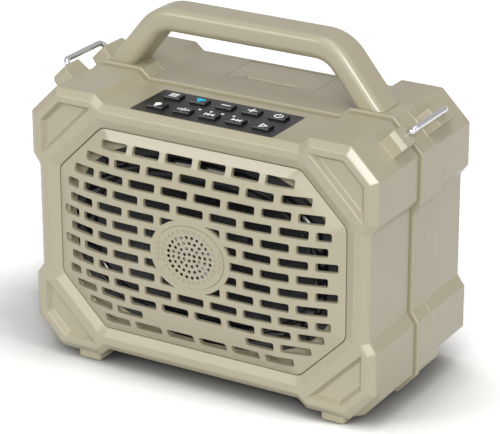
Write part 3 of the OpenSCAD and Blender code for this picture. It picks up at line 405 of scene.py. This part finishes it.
def finish_shading(piece):
    """Shade soft bends smooth and keep flat faces flat."""
    only(piece)
    bpy.ops.object.shade_smooth_by_angle(angle=EDGE)
    bpy.ops.object.modifier_add(type="WEIGHTED_NORMAL")
    normals = piece.modifiers[-1]
    normals.keep_sharp = True
    bpy.ops.object.modifier_apply(modifier=normals.name)


def round_edges(piece, radius):
    """Round a piece's sharp edges with a bevel."""
    only(piece)
    bpy.ops.object.modifier_add(type="BEVEL")
    bevel = piece.modifiers[-1]
    bevel.width = radius
    bevel.segments = ROUND_STEPS
    bevel.limit_method = "ANGLE"
    bevel.angle_limit = EDGE
    bevel.use_clamp_overlap = False
    bpy.ops.object.modifier_apply(modifier=bevel.name)


def dress(piece, finish, body, *nodes):
    """Give a piece its finish and body, and hide the CAD nodes that it stands for."""
    piece.data.materials.clear()
    piece.data.materials.append(MATERIALS[finish])
    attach(piece, body)
    if nodes:
        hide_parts(*nodes)


def dressed_copy(node, name, finish, radius=0, body="case"):
    """Dress a copy of a CAD node, with rounded edges where a radius is given."""
    piece = joined_copy(node, name)
    if radius:
        round_edges(piece, radius)
    finish_shading(piece)
    dress(piece, finish, body, node)


class SPEAKER_OT_finishes(bpy.types.Operator):
    """Make the speaker's materials"""

    bl_idname = "speaker.finishes"
    bl_label = "Finishes"

    def execute(self, context):
        MATERIALS.update(make_materials(context.scene.speaker_finish, context.scene.speaker_sizes))
        return {"FINISHED"}


def in_plane(part, depth):
    """Whether the whole of an edge or a face lies in the plane at this depth."""
    return all(abs(vertex.co.y - depth) < JOIN for vertex in part.verts)


def soften_rim(piece, depth, radius, lean):
    """Round a shell's outer rim in one plane, along the faces that lean this far."""
    only(piece)
    bpy.ops.object.mode_set(mode="EDIT")
    bpy.ops.mesh.select_mode(type="EDGE")
    bpy.ops.mesh.select_all(action="DESELECT")
    mesh = bmesh.from_edit_mesh(piece.data)
    centre = sum(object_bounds(), Vector()) / 2
    for edge in mesh.edges:
        if in_plane(edge, depth):
            first, second = (vertex.co - centre for vertex in edge.verts)
            out = first + second
            edge.select_set(any(lean[0] <= abs(face.normal.y) < lean[1]
                                and face.normal.x * out.x + face.normal.z * out.z > 0
                                for face in edge.link_faces))
    bpy.ops.mesh.bevel(offset=radius, segments=ROUND_STEPS)
    bpy.ops.mesh.select_mode(type="VERT")
    bpy.ops.object.mode_set(mode="OBJECT")


class SPEAKER_OT_casework(bpy.types.Operator):
    """Round the rims of the two shells and of the band between them, and dress the feet"""

    bl_idname = "speaker.casework"
    bl_label = "Casework"

    def execute(self, context):
        sizes = context.scene.speaker_sizes
        for node in ("front_shell", "middle_band", "rear_shell", "feet"):
            piece = joined_copy(node, node + "_moulding")
            front, rear = (corner.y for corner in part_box(node))
            rims = {
                "front_shell": ((front, BEVEL), (front + sizes.bevel_depth, WALL)),
                "middle_band": ((front, WALL), (rear, WALL)),
                "rear_shell": ((front, WALL), (rear, BEVEL), (rear - sizes.bevel_depth, WALL)),
            }
            for depth, lean in rims.get(node, ()):
                soften_rim(piece, depth, sizes.seam_edge, lean)
            finish_shading(piece)
            dress(piece, "sand_abs", "case", node)
        return {"FINISHED"}


def select_vertices(piece, chosen):
    """Select these vertices alone in edit mode."""
    bpy.ops.mesh.select_all(action="DESELECT")
    mesh = bmesh.from_edit_mesh(piece.data)
    mesh.verts.ensure_lookup_table()
    for index in chosen:
        mesh.verts[index].select = True
    mesh.select_flush_mode()


def wall_rings(piece):
    """Vertices of each ring of walls that stand across the plate, the widest ring last."""
    mesh = bmesh.from_edit_mesh(piece.data)
    walls = {face.index: face for face in mesh.faces if abs(face.normal.y) < WALL[1]}
    rings = []
    while walls:
        reach, ring = [walls.popitem()[1]], set()
        while reach:
            face = reach.pop()
            ring.update(vertex.index for vertex in face.verts)
            near = [other.index for edge in face.edges for other in edge.link_faces
                    if other.index in walls]
            reach.extend(walls.pop(index) for index in dict.fromkeys(near))
        rings.append(sorted(ring))
    across = [vertex.co.x for vertex in mesh.verts]

    def width(ring):
        places = [across[index] for index in ring]
        return max(places) - min(places)

    return sorted(rings, key=width)


def draw_in(piece, gap):
    """Draw a plate's outer wall in by a gap all round."""
    low, high = (Vector(corner) for corner in (piece.bound_box[0], piece.bound_box[6]))
    half = (high - low) / 2
    only(piece)
    bpy.ops.object.mode_set(mode="EDIT")
    select_vertices(piece, wall_rings(piece)[-1])
    bpy.ops.transform.resize(value=(1 - gap / half.x, 1, 1 - gap / half.z),
                             center_override=(low + high) / 2)
    bpy.ops.object.mode_set(mode="OBJECT")


def refill(piece, depth):
    """Fill a plate's flat side anew, round the holes that moved."""
    bpy.ops.mesh.select_all(action="DESELECT")
    bpy.ops.mesh.select_mode(type="FACE")
    for face in bmesh.from_edit_mesh(piece.data).faces:
        face.select_set(in_plane(face, depth))
    bpy.ops.mesh.delete(type="FACE")
    bpy.ops.mesh.select_mode(type="EDGE")
    for edge in bmesh.from_edit_mesh(piece.data).edges:
        edge.select_set(edge.is_boundary and in_plane(edge, depth))
    bpy.ops.mesh.fill(use_beauty=True)
    bpy.ops.mesh.select_mode(type="VERT")


def open_holes(piece, scale, hollow):
    """Widen the holes of a plate, keep them apart, and hollow the plate from behind."""
    only(piece)
    bpy.ops.object.mode_set(mode="EDIT")
    mesh = bmesh.from_edit_mesh(piece.data)
    places = [vertex.co.copy() for vertex in mesh.verts]
    front, back = min(place.y for place in places), max(place.y for place in places)
    holes = wall_rings(piece)[:-1]
    middles = [sum((places[index] for index in ring), Vector()) / len(ring) for ring in holes]
    for ring, middle in zip(holes, middles):
        across = 2 * scale * max((places[index] - middle).xz.length for index in ring)
        steps = [(middle - other).xz for other in middles if other != middle]
        away = min(steps, key=lambda step: step.length)
        push = away.normalized() * max(HOLE_PITCH * across - away.length, 0) / 2
        select_vertices(piece, ring)
        bpy.ops.transform.resize(value=(scale, 1, scale), center_override=middle)
        bpy.ops.transform.translate(value=(push.x, 0, push.y))
    rear = [index for index, place in enumerate(places) if place.y > back - REAR_LAYER]
    select_vertices(piece, rear)
    bpy.ops.transform.translate(value=(0, -hollow, 0))
    for depth in (front, back - hollow):
        refill(piece, depth)
    bpy.ops.mesh.select_all(action="SELECT")
    bpy.ops.mesh.normals_make_consistent(inside=False)
    bpy.ops.object.mode_set(mode="OBJECT")


class SPEAKER_OT_grille(bpy.types.Operator):
    """Draw the crowned grille in by its gap and open the holes of the tweeter cover"""

    bl_idname = "speaker.grille"
    bl_label = "Grille"

    def execute(self, context):
        sizes = context.scene.speaker_sizes
        grille = joined_copy("grille", "grille_moulding")
        draw_in(grille, sizes.grille_gap)
        finish_shading(grille)
        dress(grille, "fine_abs", "case", "grille")
        cover = joined_copy("tweeter_cover", "tweeter_cover_moulding")
        open_holes(cover, sizes.cover_holes, sizes.cover_thin)
        finish_shading(cover)
        dress(cover, "fine_abs", "case", "tweeter_cover")
        return {"FINISHED"}


class SPEAKER_OT_handle(bpy.types.Operator):
    """Smooth the carry handle and polish the strap bars"""

    bl_idname = "speaker.handle"
    bl_label = "Handle and bars"

    def execute(self, context):
        dressed_copy("carry_handle", "carry_handle_moulding", "sand_abs")
        for side in ("left", "right"):
            dressed_copy(side + "_strap_bar", side + "_strap_rod", "chrome_rod")
        return {"FINISHED"}


class SPEAKER_OT_keys(bpy.types.Operator):
    """Dress the key panel and round the ten keys"""

    bl_idname = "speaker.keys"
    bl_label = "Keys"

    def execute(self, context):
        edge = context.scene.speaker_sizes.key_edge
        dressed_copy("key_panel", "key_panel_plate", "black_abs")
        for key in KEYS:
            dressed_copy("key_" + key, key + "_key_cap", "black_abs", edge, "key_" + key)
        return {"FINISHED"}


def corner_rank(face):
    """Number that puts faces in the order of their first three corners."""
    first, second, third = sorted(vertex.index for vertex in face.verts)[:3]
    return (first * RANK_STEP + second) * RANK_STEP + third


def raised(height):
    """Turn the flat shape in hand into a thin raised one."""
    bpy.ops.object.transform_apply(location=True, rotation=True, scale=True)
    bpy.ops.object.mode_set(mode="EDIT")
    bpy.ops.mesh.select_all(action="SELECT")
    bpy.ops.mesh.extrude_region_move(TRANSFORM_OT_translate={"value": (0, 0, height)})
    bpy.ops.mesh.select_all(action="SELECT")
    bpy.ops.mesh.normals_make_consistent(inside=False)
    # The new walls come in another order each run
    mesh = bmesh.from_edit_mesh(bpy.context.object.data)
    mesh.verts.index_update()
    mesh.faces.sort(key=corner_rank)
    bpy.ops.object.mode_set(mode="OBJECT")
    return bpy.context.object


def bar(at, start, end, width, height):
    """Raised bar between two points, given in millimetres from a place."""
    angle = math.atan2(end[1] - start[1], end[0] - start[0])
    middle = Vector(((start[0] + end[0]) / 2, (start[1] + end[1]) / 2, 0)) * MM
    bpy.ops.mesh.primitive_plane_add(size=1, location=at + middle, rotation=(0, 0, angle))
    bpy.context.object.scale = (math.dist(start, end) * MM, width, 1)
    return raised(height)


def disc(at, middle, radius, height, corners=DISC_CORNERS, turn=0.0):
    """Raised disc, or with three corners a triangle; its middle and radius are in millimetres."""
    centre = at + Vector((*middle, 0)) * MM
    bpy.ops.mesh.primitive_circle_add(vertices=corners, radius=radius * MM, fill_type="NGON",
                                      location=centre, rotation=(0, 0, turn))
    return raised(height)


def arc(at, middle, radius, width, start, sweep, height):
    """Raised arc, spun from a line across its start; its place is in mm, its angles in degrees."""
    centre = at + Vector((*middle, 0)) * MM
    angle = math.radians(start)
    out = Vector((math.cos(angle), math.sin(angle), 0))
    bpy.ops.mesh.primitive_plane_add(size=width, location=centre + out * (radius * MM),
                                     rotation=(0, 0, angle))
    bpy.ops.object.transform_apply(location=True, rotation=True, scale=True)
    bpy.ops.object.mode_set(mode="EDIT")
    mesh = bmesh.from_edit_mesh(bpy.context.object.data)
    for vertex in mesh.verts:
        vertex.select = out.cross(vertex.co - centre).z > 0
    mesh.select_flush_mode()
    bpy.ops.mesh.delete(type="VERT")
    bpy.ops.mesh.select_all(action="SELECT")
    bpy.ops.mesh.spin(steps=ARC_STEPS, angle=math.radians(sweep), center=centre, axis=(0, 0, -1))
    bpy.ops.object.mode_set(mode="OBJECT")
    return raised(height)


def frame_triangle(at, radius, width, height):
    """Raised outline of a triangle that points to the right; its radius is in millimetres."""
    bpy.ops.mesh.primitive_circle_add(vertices=3, radius=radius * MM, fill_type="NGON", location=at,
                                      rotation=(0, 0, -math.pi / 2))
    bpy.ops.object.mode_set(mode="EDIT")
    bpy.ops.mesh.select_all(action="SELECT")
    bpy.ops.mesh.inset(thickness=width, use_boundary=True)
    bpy.ops.mesh.delete(type="FACE")
    bpy.ops.object.mode_set(mode="OBJECT")
    return raised(height)


def symbol_shapes(key, at, stroke, height):
    """The raised shapes of one key's symbol, in place on the key's top."""
    if key == "mode":
        return [bar(at, (-3, y), (3, y), stroke, height) for y in (-2.1, 0, 2.1)]
    if key == "wireless":
        waves = [arc(at, (0, -2.6), radius, stroke, 45, 90, height) for radius in (2.5, 4.6)]
        return waves + [disc(at, (0, -2.3), 0.8, height)]
    if key == "minus":
        return [bar(at, (-3.3, 0), (3.3, 0), stroke, height)]
    if key == "plus":
        return [bar(at, (-3.3, 0), (3.3, 0), stroke, height),
                bar(at, (0, -3.2), (0, 3.2), stroke, height)]
    if key == "power":
        return [arc(at, (0, -0.3), 2.7, stroke, 125, 290, height),
                bar(at, (0, 0.2), (0, 3.3), stroke, height)]
    if key == "light":
        return [disc(at, (0, 1), 2.3, height),
                bar(at, (-1.3, -1.9), (1.3, -1.9), 0.8 * stroke, height),
                bar(at, (-0.9, -3.1), (0.9, -3.1), 0.8 * stroke, height)]
    if key == "bass":
        tops = ((-4, 1.6), (-2, 3), (0, 4.6), (2, 3), (4, 1.6))
        return [bar(at, (x, -y / 2), (x, y / 2), stroke, height) for x, y in tops]
    if key == "play":
        return [frame_triangle(at, 3.7, stroke, height)]
    way = 1 if key == "next" else -1
    turn = -way * math.pi / 2
    return [bar(at, (way * 3.3, -1.8), (way * 3.3, 1.8), stroke, height),
            disc(at, (way * 1.1, 0), 2, height, corners=3, turn=turn),
            disc(at, (-way * 2.1, 0), 2, height, corners=3, turn=turn)]


class SPEAKER_OT_symbols(bpy.types.Operator):
    """Print the symbols on the keys"""

    bl_idname = "speaker.symbols"
    bl_label = "Key symbols"

    def execute(self, context):
        sizes = context.scene.speaker_sizes
        for key in KEYS:
            low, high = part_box("key_" + key)
            sunk = SUNK * sizes.print_height
            at = Vector(((low.x + high.x) / 2, (low.y + high.y) / 2, high.z - sunk))
            shapes = symbol_shapes(key, at, sizes.stroke, sizes.print_height + sunk)
            bpy.ops.object.select_all(action="DESELECT")
            for shape in shapes:
                shape.select_set(True)
            bpy.context.view_layer.objects.active = shapes[0]
            if len(shapes) > 1:
                bpy.ops.object.join()
            piece = bpy.context.object
            piece.name = key + "_symbol"
            dress(piece, "lit_symbol" if key == "wireless" else "symbol", "key_" + key)
        return {"FINISHED"}


class SPEAKER_OT_drivers(bpy.types.Operator):
    """Smooth the woofer and the tweeter behind the grille"""

    bl_idname = "speaker.drivers"
    bl_label = "Drivers"

    def execute(self, context):
        for node, finish in (("woofer_cone", "woven_cone"), ("dust_cap", "woven_cone"),
                             ("woofer_surround", "dark_rubber"), ("woofer_basket", "black_steel"),
                             ("tweeter", "silver_dome")):
            dressed_copy(node, node + "_finish", finish)
        return {"FINISHED"}


class SPEAKER_OT_ports(bpy.types.Operator):
    """Round the port cover"""

    bl_idname = "speaker.ports"
    bl_label = "Port cover"

    def execute(self, context):
        edge = context.scene.speaker_sizes.key_edge
        dressed_copy("port_cover", "port_cover_flap", "sand_abs", edge / 2, "port_cover")
        return {"FINISHED"}


class SPEAKER_OT_inner_parts(bpy.types.Operator):
    """Give the CAD parts that show as they are their finishes"""

    bl_idname = "speaker.inner_parts"
    bl_label = "Inner parts"

    def execute(self, context):
        for name, node in frame["nodes"].items():
            if not node.hide_render:
                node.material_slots[0].material = MATERIALS[SLOTS[name]]
        return {"FINISHED"}


# The floor's side, and how far it lies under the feet
FLOOR_SIZE = 20
FLOOR_DROP = 0.2 * MM
# Tone of the floor's paper for the rays that only light the case
PAPER_TONE = 0.55
# Painted shadow of the case on the floor, under it, to its left and to its right: the way in which
# the floor looks for a cover, how far it looks in mm, two open shares, and the paper's tone at each
PAINTED_FLOOR_SHADOWS = (((0, -0.8, 1), 60, (0.15, 0.77), (0.2, 1.5)),
                ((0.87, 0, 0.1), 400, (0.68, 0.79), (0.5, 1)),
                ((-0.87, 0, 0.3), 150, (0.28, 0.73), (0.47, 1)))
COVER_SAMPLES = 16
# Strength of the white surroundings for the rays that light the case, and for those that show them
SURROUNDINGS = (0.15, 0.6)
# Each light's azimuth, elevation and spread in degrees, and its strength
LIGHTS = {
    "key_light": (35, 27, 12, 1.2),
    "front_light": (5, 14, 20, 0.38),
    "left_light": (-33, 27, 14, 0.43),
    "right_light": (95, 15, 30, 0.32),
    "high_light": (30, 50, 30, 0.55),
    "top_light": (30, 86, 40, 0.7),
}
# The camera's sensor in mm, and how far it sees in m
SENSOR = 36
CLIP_END = 100


def soft_sun(name, azimuth, elevation, spread, strength):
    """Soft even light from a direction, given in degrees like its spread."""
    turn = (math.radians(90 - elevation), 0, math.radians(azimuth))
    bpy.ops.object.light_add(type="SUN", rotation=turn)
    lamp = bpy.context.object
    lamp.name = name
    lamp.data.angle = math.radians(spread)
    lamp.data.energy = strength


def shown(tree):
    """Light Path value that is 1 for the rays that show a surface, also in a mirror or glass."""
    rays = add_node(tree, "ShaderNodeLightPath").outputs
    mirrored = add_node(tree, "ShaderNodeMath", {"operation": "MAXIMUM"},
                        {0: rays["Is Glossy Ray"], 1: rays["Is Transmission Ray"]})
    return add_node(tree, "ShaderNodeMath", {"operation": "MAXIMUM"},
                    {0: rays["Is Camera Ray"], 1: mirrored.outputs["Value"]}).outputs["Value"]


def paper_with_painted_shadow():
    """Matt paper that shows as white, with a shadow painted in where the case covers it."""
    paper = bpy.data.materials.new("White paper with painted shadow")
    paper.use_nodes = True
    tree = paper.node_tree
    shader = tree.nodes["Principled BSDF"]
    # The paper's colour is darkened where the case covers it: a painted shadow
    painted_shadow = None
    for way, reach, open_shares, tones in PAINTED_FLOOR_SHADOWS:
        aim = add_node(tree, "ShaderNodeCombineXYZ", dict(zip("XYZ", Vector(way).normalized())))
        cover = add_node(tree, "ShaderNodeAmbientOcclusion",
                         {"samples": COVER_SAMPLES, "Distance": reach * MM},
                         {"Normal": aim.outputs["Vector"]})
        limits = dict(zip(("From Min", "From Max", "To Min", "To Max"), open_shares + tones))
        shade = add_node(tree, "ShaderNodeMapRange", limits,
                         {"Value": cover.outputs["AO"]}).outputs["Result"]
        if painted_shadow:
            shade = add_node(tree, "ShaderNodeMath", {"operation": "MULTIPLY"},
                             {0: painted_shadow, 1: shade}).outputs["Value"]
        painted_shadow = shade
    tone = add_node(tree, "ShaderNodeMapRange", {"To Min": PAPER_TONE},
                    {"Value": shown(tree), "To Max": painted_shadow})
    shader.inputs["Roughness"].default_value = 1.0
    shader.inputs["Specular IOR Level"].default_value = 0.0
    tree.links.new(tone.outputs["Result"], shader.inputs["Base Color"])
    return paper


def white_surroundings(scene):
    """Light the scene from all round with white that shows brighter than it lights."""
    world = scene.world or bpy.data.worlds.new("Studio")
    scene.world = world
    world.use_nodes = True
    tree = world.node_tree
    background = tree.nodes.get("Background") or add_node(tree, "ShaderNodeBackground")
    level = add_node(tree, "ShaderNodeMapRange", dict(zip(("To Min", "To Max"), SURROUNDINGS)),
                     {"Value": shown(tree)})
    background.inputs["Color"].default_value = (1, 1, 1, 1)
    tree.links.new(level.outputs["Result"], background.inputs["Strength"])


def aimed_camera(stage):
    """Camera at its distance from the point it aims at, with a long lens."""
    back = Vector((math.sin(stage.azimuth) * math.cos(stage.elevation),
                   -math.cos(stage.azimuth) * math.cos(stage.elevation),
                   math.sin(stage.elevation)))
    turn = (Matrix.Rotation(stage.azimuth, 3, "Z")
            @ Matrix.Rotation(math.pi / 2 - stage.elevation, 3, "X")
            @ Matrix.Rotation(stage.roll, 3, "Z"))
    bpy.ops.object.camera_add(location=Vector(stage.aim) + back * stage.distance,
                              rotation=turn.to_euler())
    camera = bpy.context.object
    camera.data.sensor_width = SENSOR
    camera.data.lens = stage.lens
    camera.data.clip_end = CLIP_END
    return camera


class SPEAKER_OT_stage(bpy.types.Operator):
    """Set the pale floor, the soft light and the camera"""

    bl_idname = "speaker.stage"
    bl_label = "Stage"

    def execute(self, context):
        scene = context.scene
        scene.view_settings.view_transform = "Standard"

        bpy.ops.object.select_all(action="DESELECT")
        bpy.ops.mesh.primitive_plane_add(size=FLOOR_SIZE, location=(0, 0, -FLOOR_DROP))
        floor = bpy.context.object
        floor.name = "floor"
        floor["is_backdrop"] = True
        floor.data.materials.append(paper_with_painted_shadow())

        white_surroundings(scene)
        for name, light in LIGHTS.items():
            soft_sun(name, *light)
        scene.camera = aimed_camera(scene.speaker_stage)
        return {"FINISHED"}


class SPEAKER_PT_panel(bpy.types.Panel):
    """Steps of the speaker in the 3D view's sidebar"""

    bl_idname = "SPEAKER_PT_panel"
    bl_label = "Outdoor speaker"
    bl_space_type = "VIEW_3D"
    bl_region_type = "UI"
    bl_category = "Speaker"

    def draw(self, context):
        for step in STEPS:
            self.layout.operator(step.bl_idname)
        for group in GROUPS:
            settings = getattr(context.scene, group)
            for name in settings.__annotations__:
                self.layout.prop(settings, name)


GROUPS = {
    "speaker_finish": SpeakerFinish,
    "speaker_sizes": SpeakerSizes,
    "speaker_stage": SpeakerStage,
}
STEPS = (
    SPEAKER_OT_finishes,
    SPEAKER_OT_casework,
    SPEAKER_OT_grille,
    SPEAKER_OT_handle,
    SPEAKER_OT_keys,
    SPEAKER_OT_symbols,
    SPEAKER_OT_drivers,
    SPEAKER_OT_ports,
    SPEAKER_OT_inner_parts,
    SPEAKER_OT_stage,
)


def register():
    """Register the settings, the operators and the panel."""
    for name, group in GROUPS.items():
        bpy.utils.register_class(group)
        setattr(bpy.types.Scene, name, bpy.props.PointerProperty(type=group))
    for step in (*STEPS, SPEAKER_PT_panel):
        bpy.utils.register_class(step)


def unregister():
    """Take away the panel, the operators and the settings."""
    for step in (SPEAKER_PT_panel, *reversed(STEPS)):
        bpy.utils.unregister_class(step)
    for name, group in GROUPS.items():
        delattr(bpy.types.Scene, name)
        bpy.utils.unregister_class(group)


def main():
    """Build the looks step by step."""
    register()
    for step in STEPS:
        group, name = step.bl_idname.split(".")
        getattr(getattr(bpy.ops, group), name)()


if __name__ == "__main__":
    main()
